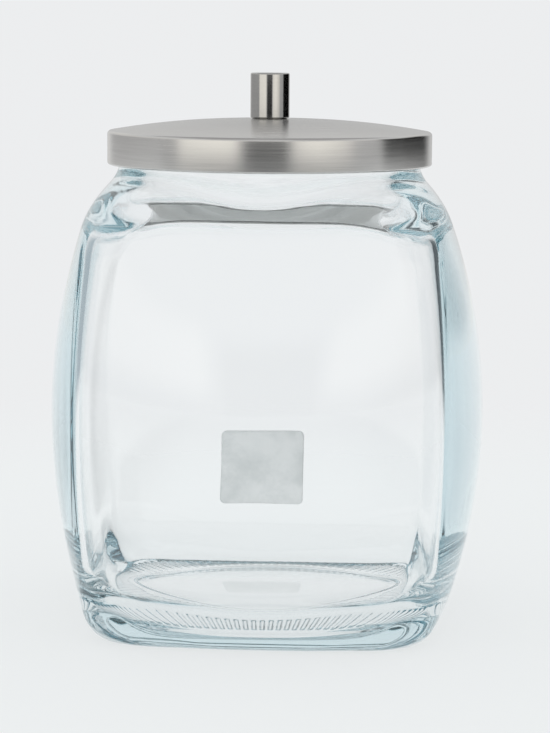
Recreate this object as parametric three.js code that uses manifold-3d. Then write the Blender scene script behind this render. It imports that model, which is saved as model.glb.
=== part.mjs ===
// A candy jar: a square glass body with bowed sides, bulging corners and a round neck,
// and a brushed steel lid that lifts off, with a plain cylindrical knob.
// Millimetres, +Z up. The origin is the middle of the base, on the surface that the jar
// stands on. The front of the jar faces -Y, and a small blank label is on the rear, +Y.

import * as THREE from "three";
import { mergeVertices } from "three/addons/utils/BufferGeometryUtils.js";
import Module from "manifold-3d";

const wasm = await Module();
wasm.setup();

// Glass body, outside
const BODY_HALF_WIDTH = 72.5; // from the axis to the middle of a side, at the widest height
const BODY_MID_HEIGHT = 69.4; // the widest height
const SIDE_BARREL_RADIUS = 186; // the upright curve of each side
const FACE_BOW = 15.5; // how far the middle of a side stands out past its corners
const CORNER_BARREL_RADIUS = 430; // the upright curve of each corner
const CORNER_RADIUS = 18;
const HEEL_HEIGHT = 10.5;
const HEEL_REACH = 5.6; // how far the heel runs in under the side
const RECESS_RADIUS = 44; // the round recess in the underside
const RECESS_SLOPE_WIDTH = 1.5;
const RECESS_STEP = 2;
const PUSH_UP = 3.2; // how far the middle of the underside is raised
const SHOULDER_SLOPE = THREE.MathUtils.degToRad(37);
const SHOULDER_ROUNDING = 12;
const SHOULDER_POWER = 2.3; // of the superellipse that the shoulder becomes: 2 is round
const SHOULDER_TURN = 9; // below the neck, the height over which it does so
const NECK_RADIUS = 50.2;
const NECK_BASE_HEIGHT = 150.7; // where the shoulder would meet the neck if nothing was rounded
const NECK_FILLET = 3;
const NECK_HEIGHT = 9.9; // from there to the rim

// Glass body, inside
const FACE_WALL = 5.5; // in the middle of a side, where the glass is thickest
const CORNER_WALL = 4;
const NECK_WALL = 4;
const SHOULDER_WALL = 4;
const INNER_CORNER_RADIUS = 14;
const INNER_EDGE_DROP = 16.7; // from the foot of the neck down to the sides' top edge
const INNER_EDGE_ROUNDING = 3;
const INNER_ROOF_RUN = 1.2; // above that edge, how far the glass comes in per height
const INNER_ROOF_POWER = 4.2;
const FLOOR_THICKNESS = 6.5;
const FLOOR_RISE = 1.2; // how far the middle of the floor stands above its edge
const FLOOR_RADIUS = 44; // the floor is round, and an inner heel leads up to the sides
const INNER_HEEL_HEIGHT = 20;

// Blank label on the rear
const LABEL_WIDTH = 28.6;
const LABEL_HEIGHT = 26.4;
const LABEL_THICKNESS = 0.3;
const LABEL_CORNER_RADIUS = 2;
const LABEL_CENTRE_X = -6;
const LABEL_CENTRE_HEIGHT = 36.6;

// Lid
const LID_SHEET = 0.8;
const SKIRT_CLEARANCE = 3; // between the neck and the skirt
const SKIRT_HEIGHT = 11.2;
const RIM_EDGE_RADIUS = 1.2;
const DOME_RISE = 3.9;
const HEM_WIDTH = 2;
const HEM_HEIGHT = 2;
const HEM_RADIUS = 0.7;
const SEAT_GAP = 0.3; // between pieces that rest on one another
const INSERT_FLANGE_THICKNESS = 1.5;
const PLUG_CLEARANCE = 1.9; // between the mouth and the plug
const PLUG_DEPTH = 7;
const PLUG_WALL = 2.6;
const GASKET_GROOVE_DEPTH = 1.2;
const GASKET_GROOVE_HEIGHT = 3.6;
const GASKET_GROOVE_DROP = 1.6; // from the flange down to the groove
const GASKET_FIN_GAP = 0.3; // between a fin and the glass
const GASKET_FIN_THICKNESS = 0.7;
const GASKET_BASE_THICKNESS = 0.8;

// Knob and its screw
const KNOB_RADIUS = 6.5;
const KNOB_HEIGHT = 15.2;
const KNOB_EDGE = 0.5;
const KNOB_FOOT_CHAMFER = 0.7;
const KNOB_SEAT_RADIUS = 8; // the flat in the middle of the lid
const SCREW_RADIUS = 2;
const SCREW_HOLE_CLEARANCE = 0.3;
const SCREW_GRIP = 8; // how far the screw goes up into the knob
const KNOB_BORE_SPARE = 1.5; // the bore is this much deeper than the screw
const SCREW_HEAD_RADIUS = 3.9;
const SCREW_HEAD_HEIGHT = 2.2;
const SCREW_HEAD_ROUND = 0.8;
const SCREW_SLOT_LENGTH = 4.4;
const SCREW_SLOT_WIDTH = 0.9;
const SCREW_SLOT_DEPTH = 1.2;
const WASHER_RADIUS = 5;
const WASHER_THICKNESS = 0.8;

const CUT_OVERRUN = 1;

// How finely each piece is divided
const OCTANT_STEPS = 7;
const SIDE_STEPS = 8;
const SHOULDER_STEPS = 10;
const INNER_SHOULDER_STEPS = 14;
const LATHE_STEPS = 48;
const SMALL_LATHE_STEPS = 32;
const ARC_STEPS = 4;
const DOME_STEPS = 6;

// Angles for a quarter of the body are packed towards the corners by this share.
const CORNER_PACKING_SHARE = 0.4;

// Where rings lie on the underside's dome and on the floor, from the middle out
const DISC_SHARES = [0.35, 0.7, 1];

// The least that a side bows out past its corners, where the body is narrow, and the
// share of the bow's room that a corner's round can take
const LEAST_BOW = 3;
const CORNER_ROUND_SHARE = 0.83;

const HALF_PI = Math.PI / 2;
const DIAGONAL = Math.SQRT1_2;

const rimHeight = NECK_BASE_HEIGHT + NECK_HEIGHT;
const innerEdgeHeight = NECK_BASE_HEIGHT - INNER_EDGE_DROP;

const material = (color, roughness, metalness, opacity = 1) =>
  new THREE.MeshStandardMaterial({
    color,
    roughness,
    metalness,
    opacity,
    transparent: opacity < 1,
  });

const glass = material(0xd9e7e8, 0.03, 0, 0.35);
const brushedSteel = material(0xb9b6b0, 0.34, 1);
const zincSteel = material(0xa4a6a8, 0.4, 1);
const whitePlastic = material(0xe9ebea, 0.5, 0);
const clearSilicone = material(0xdfe4e4, 0.4, 0);
const paper = material(0xd3d6d4, 0.85, 0);

// A sagitta: how far an arc of this radius falls away at this distance from its crown.
const fall = (radius, distance) =>
  radius - Math.sqrt(Math.max(radius ** 2 - distance ** 2, 0));

// Smooth minimum and maximum: two surfaces meet in a rounded edge or a fillet.
function roundedMin(a, b, rounding) {
  const overlap = Math.max(rounding - Math.abs(a - b), 0) / rounding;
  return Math.min(a, b) - (overlap ** 2 * rounding) / 4;
}
const filletedMax = (a, b, fillet) => -roundedMin(-a, -b, fillet);

// From 0 at the low value to 1 at the high one, with no kink at either.
const smoothStep = (low, high, value) =>
  THREE.MathUtils.smoothstep(value, low, high);

// The arcs of the body's bowed square section at a height, outside or inside: each side is
// one arc, centred on its own axis, and each corner is a smaller arc that runs into the
// two beside it.
function sectionArcs(height, inside) {
  const faceInset = inside ? FACE_WALL : 0;
  const cornerInset = inside ? CORNER_WALL : 0;
  const half =
    BODY_HALF_WIDTH -
    fall(SIDE_BARREL_RADIUS, height - BODY_MID_HEIGHT) -
    faceInset;
  const cornerReach =
    BODY_HALF_WIDTH -
    FACE_BOW -
    fall(CORNER_BARREL_RADIUS, height - BODY_MID_HEIGHT) -
    cornerInset * DIAGONAL;
  const bow = Math.max(half - cornerReach, LEAST_BOW);
  const cornerRadius = Math.min(
    inside ? INNER_CORNER_RADIUS : CORNER_RADIUS,
    (CORNER_ROUND_SHARE * bow) / (1 - DIAGONAL),
  );
  const cornerCentre = half - bow - cornerRadius * DIAGONAL;
  const depth = half - cornerCentre;
  const faceRadius =
    (depth ** 2 + cornerCentre ** 2 - cornerRadius ** 2) /
    (2 * (depth - cornerRadius));
  return { half, faceRadius, cornerRadius, cornerCentre };
}

// Distance from the axis to that section at an angle.
function bodyRadius(angle, height, inside) {
  const { half, faceRadius, cornerRadius, cornerCentre } = sectionArcs(
    height,
    inside,
  );
  const quarter = ((angle % HALF_PI) + HALF_PI) % HALF_PI;
  const a = Math.min(quarter, HALF_PI - quarter);
  const faceCentre = half - faceRadius;
  const reach = faceRadius / (faceRadius - cornerRadius);
  const joint = Math.atan2(
    cornerCentre * reach,
    faceCentre + (cornerCentre - faceCentre) * reach,
  );
  if (a <= joint)
    return (
      faceCentre * Math.cos(a) +
      Math.sqrt(faceRadius ** 2 - (faceCentre * Math.sin(a)) ** 2)
    );
  const along = cornerCentre * (Math.cos(a) + Math.sin(a));
  return (
    along + Math.sqrt(cornerRadius ** 2 - 2 * cornerCentre ** 2 + along ** 2)
  );
}

// A superellipse of a power: 1 across the sides, and more across the corners.
const squareness = (angle, power) =>
  (Math.abs(Math.cos(angle)) ** power + Math.abs(Math.sin(angle)) ** power) **
  (-1 / power);

// The slope of the shoulder, moved down by a wall: round at the neck, squarer below it.
function shoulderRadius(angle, height, wall) {
  const drop = NECK_BASE_HEIGHT - wall / Math.cos(SHOULDER_SLOPE) - height;
  const square =
    smoothStep(0, SHOULDER_TURN, drop) *
    (squareness(angle, SHOULDER_POWER) - 1);
  return (NECK_RADIUS + drop / Math.tan(SHOULDER_SLOPE)) * (1 + square);
}

// Body, shoulder and neck together, outside.
const outerRadius = (angle, height) =>
  filletedMax(
    NECK_RADIUS,
    roundedMin(
      bodyRadius(angle, height, false),
      shoulderRadius(angle, height, 0),
      SHOULDER_ROUNDING,
    ),
    NECK_FILLET,
  );

// The same inside, where a squarer slope thickens the glass above the sides' top edge.
function innerRadius(angle, height) {
  const edgeHalf = sectionArcs(innerEdgeHeight, true).half;
  const roof =
    (edgeHalf - (height - innerEdgeHeight) * INNER_ROOF_RUN) *
    squareness(angle, INNER_ROOF_POWER);
  const side = roundedMin(
    bodyRadius(angle, height, true),
    roof,
    INNER_EDGE_ROUNDING,
  );
  return filletedMax(
    NECK_RADIUS - NECK_WALL,
    roundedMin(
      side,
      shoulderRadius(angle, height, SHOULDER_WALL),
      SHOULDER_ROUNDING,
    ),
    NECK_FILLET,
  );
}

// Angles round the body, closest together at its four corners.
function bodyAngles() {
  const shares = [];
  for (let i = 0; i <= OCTANT_STEPS; i++) {
    const u = i / OCTANT_STEPS;
    shares.push(CORNER_PACKING_SHARE * u + (1 - CORNER_PACKING_SHARE) * u ** 2);
  }
  const octant = HALF_PI / 2;
  const angles = [];
  for (let quarter = 0; quarter < 4; quarter++) {
    const corner = quarter * HALF_PI + octant;
    for (let i = OCTANT_STEPS; i > 0; i--)
      angles.push(corner - octant * shares[i]);
    for (let i = 0; i < OCTANT_STEPS; i++)
      angles.push(corner + octant * shares[i]);
  }
  return angles;
}

// A closed surface through rings of points, each ring running anticlockwise seen from
// above, with a fan to a middle point at the first and the last ring.
function loft(rings, firstMiddle, lastMiddle) {
  const count = rings[0].length;
  const positions = [...rings.flat(2), ...firstMiddle, ...lastMiddle];
  const first = rings.length * count;
  const last = first + 1;
  const index = [];
  for (let j = 0; j < count; j++) {
    const next = (j + 1) % count;
    index.push(first, next, j);
    const top = (rings.length - 1) * count;
    index.push(last, top + j, top + next);
    for (let i = 0; i + 1 < rings.length; i++) {
      const below = i * count;
      const above = below + count;
      index.push(below + j, below + next, above + next);
      index.push(below + j, above + next, above + j);
    }
  }
  const geometry = new THREE.BufferGeometry();
  geometry.setAttribute(
    "position",
    new THREE.Float32BufferAttribute(positions, 3),
  );
  geometry.setIndex(index);
  geometry.computeVertexNormals();
  return geometry;
}

const ramp = (low, high, steps) =>
  Array.from(
    { length: steps + 1 },
    (unused, i) => low + ((high - low) * i) / steps,
  );

function glassJar() {
  const angles = bodyAngles();
  const ring = (radiusAt, height) =>
    angles.map((a) => {
      const r = radiusAt(a);
      return [r * Math.cos(a), r * Math.sin(a), height];
    });
  const rings = [];

  // The underside: a round recess with a shallow dome, and the flat round it.
  const domeRadius = RECESS_RADIUS - RECESS_SLOPE_WIDTH;
  for (const share of DISC_SHARES)
    rings.push(
      ring(
        () => domeRadius * share,
        PUSH_UP - (PUSH_UP - RECESS_STEP) * share ** 2,
      ),
    );
  const standShare = 1 - HEEL_REACH / sectionArcs(0, false).half;
  rings.push(ring(() => RECESS_RADIUS, 0));
  rings.push(ring((a) => bodyRadius(a, 0, false) * standShare, 0));

  // The heel, a quarter of an ellipse.
  for (let i = 1; i <= ARC_STEPS; i++) {
    const turn = (HALF_PI * i) / ARC_STEPS;
    const height = HEEL_HEIGHT * (1 - Math.cos(turn));
    const inset = HEEL_REACH * (1 - Math.sin(turn));
    const share = 1 - inset / sectionArcs(height, false).half;
    rings.push(ring((a) => bodyRadius(a, height, false) * share, height));
  }

  // The side, the shoulder and the neck.
  const shoulderStart = NECK_BASE_HEIGHT - 2 * SHOULDER_ROUNDING;
  const neckStart = NECK_BASE_HEIGHT + NECK_FILLET / 2;
  const outside = [
    ...ramp(HEEL_HEIGHT, shoulderStart, SIDE_STEPS).slice(1),
    ...ramp(shoulderStart, neckStart, SHOULDER_STEPS).slice(1),
  ];
  for (const height of outside)
    rings.push(ring((a) => outerRadius(a, height), height));

  // The rim, a half round, and down inside.
  const rimRadius = NECK_WALL / 2;
  for (let i = 0; i <= 2 * ARC_STEPS; i++) {
    const turn = (Math.PI * i) / (2 * ARC_STEPS);
    rings.push(
      ring(
        () => NECK_RADIUS - rimRadius + rimRadius * Math.cos(turn),
        rimHeight - rimRadius + rimRadius * Math.sin(turn),
      ),
    );
  }
  const innerHeelTop = FLOOR_THICKNESS + INNER_HEEL_HEIGHT;
  const inside = [
    ...ramp(neckStart, shoulderStart, INNER_SHOULDER_STEPS),
    ...ramp(shoulderStart, innerHeelTop, SIDE_STEPS).slice(1),
  ];
  for (const height of inside)
    rings.push(ring((a) => innerRadius(a, height), height));

  // The inner heel, a quarter of an ellipse down to the round floor.
  for (let i = 1; i <= ARC_STEPS; i++) {
    const turn = (HALF_PI * i) / ARC_STEPS;
    const height = innerHeelTop - INNER_HEEL_HEIGHT * Math.sin(turn);
    rings.push(
      ring((a) => {
        const wall = bodyRadius(a, height, true);
        return FLOOR_RADIUS + (wall - FLOOR_RADIUS) * Math.cos(turn);
      }, height),
    );
  }
  for (const share of DISC_SHARES.slice(0, -1).toReversed())
    rings.push(
      ring(
        () => FLOOR_RADIUS * share,
        FLOOR_THICKNESS + FLOOR_RISE * (1 - share ** 2),
      ),
    );
  return loft(
    rings,
    [0, 0, PUSH_UP],
    [0, 0, FLOOR_THICKNESS + FLOOR_RISE],
  );
}

// The label follows the rear face, a seat gap off the glass, with round corners.
function rearLabel() {
  const columns = 8;
  const rows = [
    ...ramp(0, LABEL_CORNER_RADIUS, 2),
    ...ramp(LABEL_CORNER_RADIUS, LABEL_HEIGHT - LABEL_CORNER_RADIUS, 6).slice(1),
    ...ramp(LABEL_HEIGHT - LABEL_CORNER_RADIUS, LABEL_HEIGHT, 2).slice(1),
  ];
  const outline = (row, side, offset) => {
    const edge = Math.min(row, LABEL_HEIGHT - row);
    const narrowing = fall(
      LABEL_CORNER_RADIUS,
      Math.max(LABEL_CORNER_RADIUS - edge, 0),
    );
    const x = LABEL_CENTRE_X + side * (LABEL_WIDTH / 2 - narrowing);
    const z = LABEL_CENTRE_HEIGHT - LABEL_HEIGHT / 2 + row;
    const { half, faceRadius } = sectionArcs(z, false);
    const y =
      half - faceRadius + Math.sqrt((faceRadius + offset) ** 2 - x ** 2);
    return [x, y, z];
  };
  // Each ring goes along the outer surface and back along the inner one.
  const sides = ramp(-1, 1, columns);
  const rings = rows.map((row) => [
    ...sides.map((side) => outline(row, side, SEAT_GAP)),
    ...sides
      .toReversed()
      .map((side) => outline(row, side, SEAT_GAP + LABEL_THICKNESS)),
  ]);
  const middle = SEAT_GAP + LABEL_THICKNESS / 2;
  return loft(
    rings,
    outline(0, 0, middle),
    outline(LABEL_HEIGHT, 0, middle),
  );
}

// Points of an arc, from one angle to another, in the plane of a lathe profile.
const arc = (r, z, radius, from, to, steps = ARC_STEPS) =>
  ramp(from, to, steps).map(
    (turn) =>
      new THREE.Vector2(
        r + radius * Math.cos(turn),
        z + radius * Math.sin(turn),
      ),
  );
const at = (r, z) => new THREE.Vector2(r, z);

// A lathe turns round Y in three.js, so it is stood up on Z.
function turned(profile, steps = LATHE_STEPS) {
  const geometry = new THREE.LatheGeometry(profile, steps);
  geometry.rotateX(HALF_PI);
  return geometry;
}

// Heights and radii of the lid, all from the neck that it goes over.
const flangeBottom = rimHeight + SEAT_GAP;
const flangeTop = flangeBottom + INSERT_FLANGE_THICKNESS;
const lidUnderside = flangeTop + SEAT_GAP;
const lidShoulder = lidUnderside + LID_SHEET;
const lidRadius = NECK_RADIUS + SKIRT_CLEARANCE + LID_SHEET;
const skirtBottom = lidShoulder - SKIRT_HEIGHT;
const screwHoleRadius = SCREW_RADIUS + SCREW_HOLE_CLEARANCE;
const knobSeatHeight = lidShoulder + DOME_RISE;
const plugRadius = NECK_RADIUS - NECK_WALL - PLUG_CLEARANCE;

// One side of the domed top, from its flat middle out to the rim's round.
function domeProfile(drop, edgeRadius) {
  const outerRadius = lidRadius - RIM_EDGE_RADIUS;
  const domeRadius =
    ((outerRadius - KNOB_SEAT_RADIUS) ** 2 + DOME_RISE ** 2) / (2 * DOME_RISE);
  return [
    ...ramp(KNOB_SEAT_RADIUS, outerRadius, DOME_STEPS)
      .map((r) =>
        at(r, knobSeatHeight - drop - fall(domeRadius, r - KNOB_SEAT_RADIUS)),
      )
      .slice(0, -1),
    ...arc(
      outerRadius,
      lidShoulder - RIM_EDGE_RADIUS,
      edgeRadius,
      HALF_PI,
      0,
      3,
    ),
  ];
}

function lidCap() {
  const hemInner = lidRadius - HEM_WIDTH;
  const profile = [
    at(screwHoleRadius, knobSeatHeight),
    ...domeProfile(0, RIM_EDGE_RADIUS),
    ...arc(
      lidRadius - HEM_RADIUS,
      skirtBottom + HEM_RADIUS,
      HEM_RADIUS,
      0,
      -HALF_PI,
      2,
    ),
    ...arc(
      hemInner + HEM_RADIUS,
      skirtBottom + HEM_RADIUS,
      HEM_RADIUS,
      -HALF_PI,
      -Math.PI,
      2,
    ),
    at(hemInner, skirtBottom + HEM_HEIGHT),
    at(lidRadius - LID_SHEET, skirtBottom + HEM_HEIGHT),
    ...domeProfile(LID_SHEET, RIM_EDGE_RADIUS - LID_SHEET).toReversed(),
    at(screwHoleRadius, knobSeatHeight - LID_SHEET),
    at(screwHoleRadius, knobSeatHeight),
  ];
  return turned(profile.toReversed());
}

function lidInsert() {
  const flangeRadius = lidRadius - LID_SHEET - SEAT_GAP;
  const plugBottom = flangeBottom - PLUG_DEPTH;
  const grooveTop = flangeBottom - GASKET_GROOVE_DROP;
  const grooveRadius = plugRadius - GASKET_GROOVE_DEPTH;
  const grooveBottom = grooveTop - GASKET_GROOVE_HEIGHT;
  return turned([
    at(0, flangeBottom),
    at(plugRadius - PLUG_WALL, flangeBottom),
    at(plugRadius - PLUG_WALL, plugBottom),
    at(plugRadius, plugBottom),
    at(plugRadius, grooveBottom),
    at(grooveRadius, grooveBottom),
    at(grooveRadius, grooveTop),
    at(plugRadius, grooveTop),
    at(plugRadius, flangeBottom),
    at(flangeRadius, flangeBottom),
    at(flangeRadius, flangeTop),
    at(0, flangeTop),
  ]);
}

// A ring in the plug's groove, with two fins that wipe the mouth of the jar.
function lidGasket() {
  const bottom =
    flangeBottom - GASKET_GROOVE_DROP - GASKET_GROOVE_HEIGHT + SEAT_GAP;
  const top = flangeBottom - GASKET_GROOVE_DROP - SEAT_GAP;
  const inner = plugRadius - GASKET_GROOVE_DEPTH + SEAT_GAP;
  const base = inner + GASKET_BASE_THICKNESS;
  const tip = NECK_RADIUS - NECK_WALL - GASKET_FIN_GAP;
  return turned([
    at(inner, bottom),
    at(tip, bottom),
    at(tip, bottom + GASKET_FIN_THICKNESS),
    at(base, bottom + GASKET_FIN_THICKNESS),
    at(base, top - GASKET_FIN_THICKNESS),
    at(tip, top - GASKET_FIN_THICKNESS),
    at(tip, top),
    at(inner, top),
    at(inner, bottom),
  ]);
}

function knob() {
  const top = knobSeatHeight + KNOB_HEIGHT;
  const boreTop = knobSeatHeight + SCREW_GRIP + KNOB_BORE_SPARE;
  return turned(
    [
      at(0, boreTop),
      at(screwHoleRadius, boreTop),
      at(screwHoleRadius, knobSeatHeight),
      at(KNOB_RADIUS - KNOB_FOOT_CHAMFER, knobSeatHeight),
      at(KNOB_RADIUS, knobSeatHeight + KNOB_FOOT_CHAMFER),
      ...arc(KNOB_RADIUS - KNOB_EDGE, top - KNOB_EDGE, KNOB_EDGE, 0, HALF_PI, 3),
      at(0, top),
    ],
    SMALL_LATHE_STEPS,
  );
}

const washerTop = knobSeatHeight - LID_SHEET;
const headTop = washerTop - WASHER_THICKNESS;

function screwWasher() {
  return turned(
    [
      at(screwHoleRadius, headTop),
      at(WASHER_RADIUS, headTop),
      at(WASHER_RADIUS, washerTop),
      at(screwHoleRadius, washerTop),
      at(screwHoleRadius, headTop),
    ],
    SMALL_LATHE_STEPS,
  );
}

// A closed geometry as a solid for cutting, and back.
function solidOf(geometry) {
  const bare = geometry.clone();
  bare.deleteAttribute("normal");
  bare.deleteAttribute("uv");
  const merged = mergeVertices(bare);
  return new wasm.Manifold(
    new wasm.Mesh({
      numProp: 3,
      vertProperties: merged.attributes.position.array,
      triVerts: new Uint32Array(merged.index.array),
    }),
  );
}
function geometryOf(solid) {
  const mesh = solid.getMesh();
  const geometry = new THREE.BufferGeometry();
  geometry.setAttribute(
    "position",
    new THREE.BufferAttribute(mesh.vertProperties, 3),
  );
  geometry.setIndex(new THREE.BufferAttribute(mesh.triVerts, 1));
  geometry.computeVertexNormals();
  return geometry;
}

// A pan-head screw that comes up through the lid into the knob, with a crossed recess.
function knobScrew() {
  const headBottom = headTop - SCREW_HEAD_HEIGHT;
  const blank = turned(
    [
      at(0, headBottom),
      ...arc(
        SCREW_HEAD_RADIUS - SCREW_HEAD_ROUND,
        headBottom + SCREW_HEAD_ROUND,
        SCREW_HEAD_ROUND,
        -HALF_PI,
        0,
        3,
      ),
      at(SCREW_HEAD_RADIUS, headTop),
      at(SCREW_RADIUS, headTop),
      at(SCREW_RADIUS, knobSeatHeight + SCREW_GRIP),
      at(0, knobSeatHeight + SCREW_GRIP),
    ],
    SMALL_LATHE_STEPS,
  );
  const slotHeight = SCREW_SLOT_DEPTH + CUT_OVERRUN;
  const slotMiddle = headBottom + SCREW_SLOT_DEPTH - slotHeight / 2;
  let solid = solidOf(blank);
  for (const turn of [0, HALF_PI]) {
    const slot = new THREE.BoxGeometry(
      SCREW_SLOT_LENGTH,
      SCREW_SLOT_WIDTH,
      slotHeight,
    );
    slot.rotateZ(turn);
    slot.translate(0, 0, slotMiddle);
    solid = solid.subtract(solidOf(slot));
  }
  return geometryOf(solid);
}

function piece(name, geometry, look) {
  const mesh = new THREE.Mesh(geometry, look);
  mesh.name = name;
  return mesh;
}

const jarBody = new THREE.Group();
jarBody.add(
  piece("glass_jar", glassJar(), glass),
  piece("rear_label", rearLabel(), paper),
);

const lid = new THREE.Group();
lid.add(
  piece("lid_cap", lidCap(), brushedSteel),
  piece("lid_insert", lidInsert(), whitePlastic),
  piece("lid_gasket", lidGasket(), clearSilicone),
  piece("knob", knob(), brushedSteel),
  piece("knob_screw", knobScrew(), zincSteel),
  piece("screw_washer", screwWasher(), zincSteel),
);

const candyJar = new THREE.Group();
candyJar.add(jarBody, lid);

export default candyJar;
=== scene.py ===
# A square glass candy jar with a brushed steel lid, standing on a pale studio floor.
# Metres, +Z up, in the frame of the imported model. The front of the jar faces -Y.

import math

import bpy
import numpy as np
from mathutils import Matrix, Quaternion, Vector


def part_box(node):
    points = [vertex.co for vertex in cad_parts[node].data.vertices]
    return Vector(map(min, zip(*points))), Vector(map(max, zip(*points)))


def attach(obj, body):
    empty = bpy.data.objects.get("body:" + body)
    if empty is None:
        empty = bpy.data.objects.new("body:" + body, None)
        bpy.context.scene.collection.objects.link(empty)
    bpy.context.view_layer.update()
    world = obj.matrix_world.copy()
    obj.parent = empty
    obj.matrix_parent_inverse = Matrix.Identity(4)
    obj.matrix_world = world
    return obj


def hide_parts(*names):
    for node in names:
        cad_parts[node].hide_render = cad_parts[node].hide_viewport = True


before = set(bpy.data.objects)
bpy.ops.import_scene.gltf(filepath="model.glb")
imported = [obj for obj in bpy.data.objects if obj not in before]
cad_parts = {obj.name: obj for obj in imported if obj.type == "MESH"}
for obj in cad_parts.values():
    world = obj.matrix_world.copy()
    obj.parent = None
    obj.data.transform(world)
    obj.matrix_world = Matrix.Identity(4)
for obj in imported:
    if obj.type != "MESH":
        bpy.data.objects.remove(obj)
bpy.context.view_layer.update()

MM = 0.001
HALF_PI = math.pi / 2
DIAGONAL = math.sqrt(0.5)

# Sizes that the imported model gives
_, glass_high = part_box("glass_jar")
cap_low, cap_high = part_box("lid_cap")
insert_low, insert_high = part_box("lid_insert")
gasket_low, gasket_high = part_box("lid_gasket")
knob_low, knob_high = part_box("knob")
washer_low, washer_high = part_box("screw_washer")
label_low, label_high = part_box("rear_label")

BODY_HALF_WIDTH = glass_high.x
RIM_HEIGHT = glass_high.z
LID_RADIUS = cap_high.x
SKIRT_BOTTOM = cap_low.z
KNOB_SEAT = cap_high.z

# The glass body's other sizes, outside
BODY_MID_HEIGHT = 69.4 * MM
SIDE_BARREL_RADIUS = 186 * MM
FACE_BOW = 15.5 * MM
CORNER_BARREL_RADIUS = 430 * MM
CORNER_RADIUS = 18 * MM
LEAST_BOW = 3 * MM
CORNER_ROUND_SHARE = 0.83
HEEL_HEIGHT = 10.5 * MM
HEEL_REACH = 5.6 * MM
RECESS_RADIUS = 44 * MM
RECESS_SLOPE_WIDTH = 1.5 * MM
RECESS_STEP = 2 * MM
PUSH_UP = 3.2 * MM
SHOULDER_SLOPE = math.radians(37)
SHOULDER_ROUNDING = 12 * MM
SHOULDER_POWER = 2.3
SHOULDER_TURN = 9 * MM
NECK_RADIUS = 50.2 * MM
NECK_HEIGHT = 9.9 * MM
NECK_BASE_HEIGHT = RIM_HEIGHT - NECK_HEIGHT
NECK_FILLET = 3 * MM
NECK_START = NECK_BASE_HEIGHT + NECK_FILLET / 2

# The glass body's sizes, inside
FACE_WALL = 5.5 * MM
CORNER_WALL = 4 * MM
NECK_WALL = 4 * MM
SHOULDER_WALL = 4 * MM
INNER_CORNER_RADIUS = 14 * MM
INNER_EDGE_HEIGHT = 134 * MM
INNER_EDGE_ROUNDING = 3 * MM
INNER_EDGE_SLOPE = 1.2
INNER_ROOF_POWER = 4.2
FLOOR_THICKNESS = 6.5 * MM
FLOOR_RISE = 1.2 * MM
FLOOR_RADIUS = 44 * MM
INNER_HEEL_HEIGHT = 20 * MM
INNER_HEEL_TOP = FLOOR_THICKNESS + INNER_HEEL_HEIGHT

# The small bars under the base
STIPPLE_COUNT = 112
STIPPLE_LENGTH = 14 * MM
STIPPLE_DEPTH = 1.15 * MM
BAR_CORE_SHARE = 0.12
BAR_EDGE_SHARE = 0.36
BAR_END_SHARE = 0.7

# The inner wall's waves: times round the axis, turn for each metre of height, and start
WAVINESS = 0.06 * MM
WAVES = ((3, 41, 0.7), (7, -93, 2.1), (11, 137, 4.0))

# The label
LABEL_CORNER = 2 * MM
LABEL_GAP = 0.3 * MM
LABEL_THICKNESS = 0.3 * MM

# The lid's cap
LID_SHEET = 0.8 * MM
RIM_EDGE_RADIUS = 1.2 * MM
DOME_RISE = 3.9 * MM
KNOB_SEAT_RADIUS = 8 * MM
HEM_WIDTH = 2 * MM
HEM_HEIGHT = 2 * MM
HEM_RADIUS = 0.7 * MM
HOLE_RADIUS = 2.3 * MM

# The lid's plug and its gasket
PLUG_CLEARANCE = 1.9 * MM
PLUG_RADIUS = NECK_RADIUS - NECK_WALL - PLUG_CLEARANCE
PLUG_WALL = 2.6 * MM
PLUG_EDGE = 0.3 * MM
FLANGE_THICKNESS = 1.5 * MM
GROOVE_DROP = 1.6 * MM
GROOVE_HEIGHT = 3.6 * MM
GROOVE_DEPTH = 1.2 * MM
GASKET_GAP = 0.3 * MM
GASKET_BACK = 0.8 * MM
GASKET_FIN = 0.7 * MM

# The knob and its washer
KNOB_EDGE = 0.5 * MM
KNOB_CHAMFER = 0.7 * MM
KNOB_BORE_DEPTH = 9.5 * MM
WASHER_EDGE = 0.15 * MM

# How finely the glass is divided: round the axis, and along each stretch of its profile
BARS_TURNS = 8 * STIPPLE_COUNT
GLASS_TURNS = 4 * STIPPLE_COUNT
BARS_ANGLES = np.linspace(0, 2 * math.pi, BARS_TURNS, endpoint=False)
GLASS_ANGLES = BARS_ANGLES[:: BARS_TURNS // GLASS_TURNS]
SHOULDER_START_SHARE = 0.8
SHOULDER_START = SHOULDER_START_SHARE * NECK_BASE_HEIGHT
FLAT_STEP = 6 * MM
BARS_STEP = 0.55 * MM
SIDE_STEP = 5 * MM
SHOULDER_STEP = 1 * MM
RECESS_STEPS = 8
HEEL_STEPS = 12
RIM_STEPS = 14
INNER_HEEL_STEPS = 16

# How finely the label and the lid are divided
LABEL_STEPS_ACROSS = 48
LABEL_STEPS_UP = 40
LATHE_TURNS = 192
DOME_POINTS = 40
ARC_STEPS = 8
EDGE_STEPS = 3
FIN_STEPS = 6
CREASE_ANGLE = math.radians(35)

# Glass
CLEAR = (1, 1, 1)
GLASS_IOR = 1.52
GLASS_TINT = (0.2, 0.57, 0.66)
GLASS_DENSITY = 4.0

# Each noise below is a scale, a detail and a roughness, and mostly lies between these
NOISE_LOW, NOISE_HIGH = 0.3, 0.7

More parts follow.
